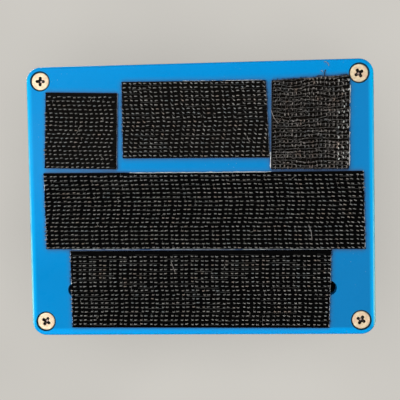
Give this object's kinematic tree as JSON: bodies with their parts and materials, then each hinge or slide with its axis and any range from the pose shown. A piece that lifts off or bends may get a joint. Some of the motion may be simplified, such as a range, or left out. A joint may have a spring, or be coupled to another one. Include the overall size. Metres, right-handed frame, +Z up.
{
  "type": "effects pedal",
  "caption": "Guitar effects pedal in a die-cast box with knobs, footswitches, toggle and lamps, and pieces of hook tape stuck under its screwed base plate.",
  "frame": {"origin": "on the hook tips of the tape under the base plate, below the middle of the box", "axes": "+Z up out of the control face, +X to the right as the player stands in front of it, +Y to the rear edge with the knobs and the power socket"},
  "size_m": [0.1238, 0.0949, 0.052],
  "materials": {
    "box_paint": "gloss powder coat on die-cast aluminium",
    "plate_paint": "gloss powder coat on die-cast aluminium, a little scuffed",
    "hook_tape": "woven black backing with stiff plastic hooks",
    "hook_tape_fuzzy": "the same tape with lint caught in it",
    "adhesive": "pale translucent adhesive sheet",
    "screw_nickel": "warm nickel plate",
    "bright_steel": "bright plated steel",
    "plain_steel": "satin plated steel",
    "nylon": "natural nylon",
    "knob_black": "moulded phenolic",
    "black_plastic": "moulded plastic",
    "blue_plastic": "moulded plastic",
    "red_plastic": "moulded plastic",
    "red_lens": "tinted clear epoxy",
    "board_green": "lacquered glass laminate",
    "wafer_brown": "phenolic wafer",
    "tin": "tinned brass",
    "brass_pin": "turned",
    "wire_yellow": "plastic covered wire",
    "resistor_tan": "lacquered"
  },
  "bodies": {
    "enclosure": {"enclosure_shell": "box_paint", "base_plate": "plate_paint", "base_screws": "screw_nickel", "tape_adhesive": "adhesive", "hook_tape_long": "hook_tape", "hook_tape_lower": "hook_tape", "hook_tape_upper_left": "hook_tape", "hook_tape_upper_middle": "hook_tape", "hook_tape_upper_right": "hook_tape_fuzzy", "pot_bushes": "plain_steel", "pot_cans": "plain_steel", "pot_wafers": "wafer_brown", "pot_pins": "tin", "pot_washers": "plain_steel", "pot_nuts": "plain_steel", "footswitch_bushes": "bright_steel", "footswitch_housings": "blue_plastic", "footswitch_lugs": "tin", "footswitch_inner_washers": "plain_steel", "footswitch_outer_washers": "nylon", "footswitch_nuts": "bright_steel", "footswitch_spring_left": "plain_steel", "footswitch_spring_right": "plain_steel", "toggle_bush": "bright_steel", "toggle_housing": "red_plastic", "toggle_lugs": "tin", "toggle_washers": "plain_steel", "toggle_nut": "bright_steel", "lamp_bezels": "bright_steel", "lamp_lenses": "red_lens", "lamp_legs": "tin", "jack_bushes": "bright_steel", "input_jack_housing": "black_plastic", "output_jack_housing": "black_plastic", "jack_contacts": "tin", "jack_washers": "plain_steel", "jack_nuts": "bright_steel", "power_socket": "black_plastic", "power_pin": "brass_pin", "power_nut": "black_plastic", "power_lugs": "tin", "circuit_board": "board_green", "board_chips": "black_plastic", "board_film_capacitors": "red_plastic", "board_can_capacitors": "blue_plastic", "board_resistors": "resistor_tan", "hookup_wires": "wire_yellow"},
    "control_1": {"knob_1": "knob_black", "pot_shaft_1": "plain_steel"},
    "control_2": {"knob_2": "knob_black", "pot_shaft_2": "plain_steel"},
    "control_3": {"knob_3": "knob_black", "pot_shaft_3": "plain_steel"},
    "control_4": {"knob_4": "knob_black", "pot_shaft_4": "plain_steel"},
    "left_button": {"footswitch_button_left": "bright_steel"},
    "right_button": {"footswitch_button_right": "bright_steel"},
    "toggle": {"toggle_lever": "bright_steel"}
  },
  "joints": [
    {"name": "knob_1_turn", "type": "hinge", "parent": "enclosure", "child": "control_1", "pos_m": [-0.045, 0.02, 0.0362], "axis": [0, 0, 1], "range_deg": [-150, 150]},
    {"name": "knob_2_turn", "type": "hinge", "parent": "enclosure", "child": "control_2", "pos_m": [-0.015, 0.02, 0.0362], "axis": [0, 0, 1], "range_deg": [-150, 150]},
    {"name": "knob_3_turn", "type": "hinge", "parent": "enclosure", "child": "control_3", "pos_m": [0.015, 0.02, 0.0362], "axis": [0, 0, 1], "range_deg": [-150, 150]},
    {"name": "knob_4_turn", "type": "hinge", "parent": "enclosure", "child": "control_4", "pos_m": [0.045, 0.02, 0.0362], "axis": [0, 0, 1], "range_deg": [-150, 150]},
    {"name": "footswitch_left_press", "type": "slide", "parent": "enclosure", "child": "left_button", "axis": [0, 0, 1], "range_m": [-0.0025, 0], "stiffness_N_per_m": 5000, "springref_m": 0.0015, "deforming": ["footswitch_spring_left"]},
    {"name": "footswitch_right_press", "type": "slide", "parent": "enclosure", "child": "right_button", "axis": [0, 0, 1], "range_m": [-0.0025, 0], "stiffness_N_per_m": 5000, "springref_m": 0.0015, "deforming": ["footswitch_spring_right"]},
    {"name": "toggle_tilt", "type": "hinge", "parent": "enclosure", "child": "toggle", "pos_m": [0, -0.004, 0.038], "axis": [0, 1, 0], "range_deg": [-12.5, 12.5]}
  ]
}
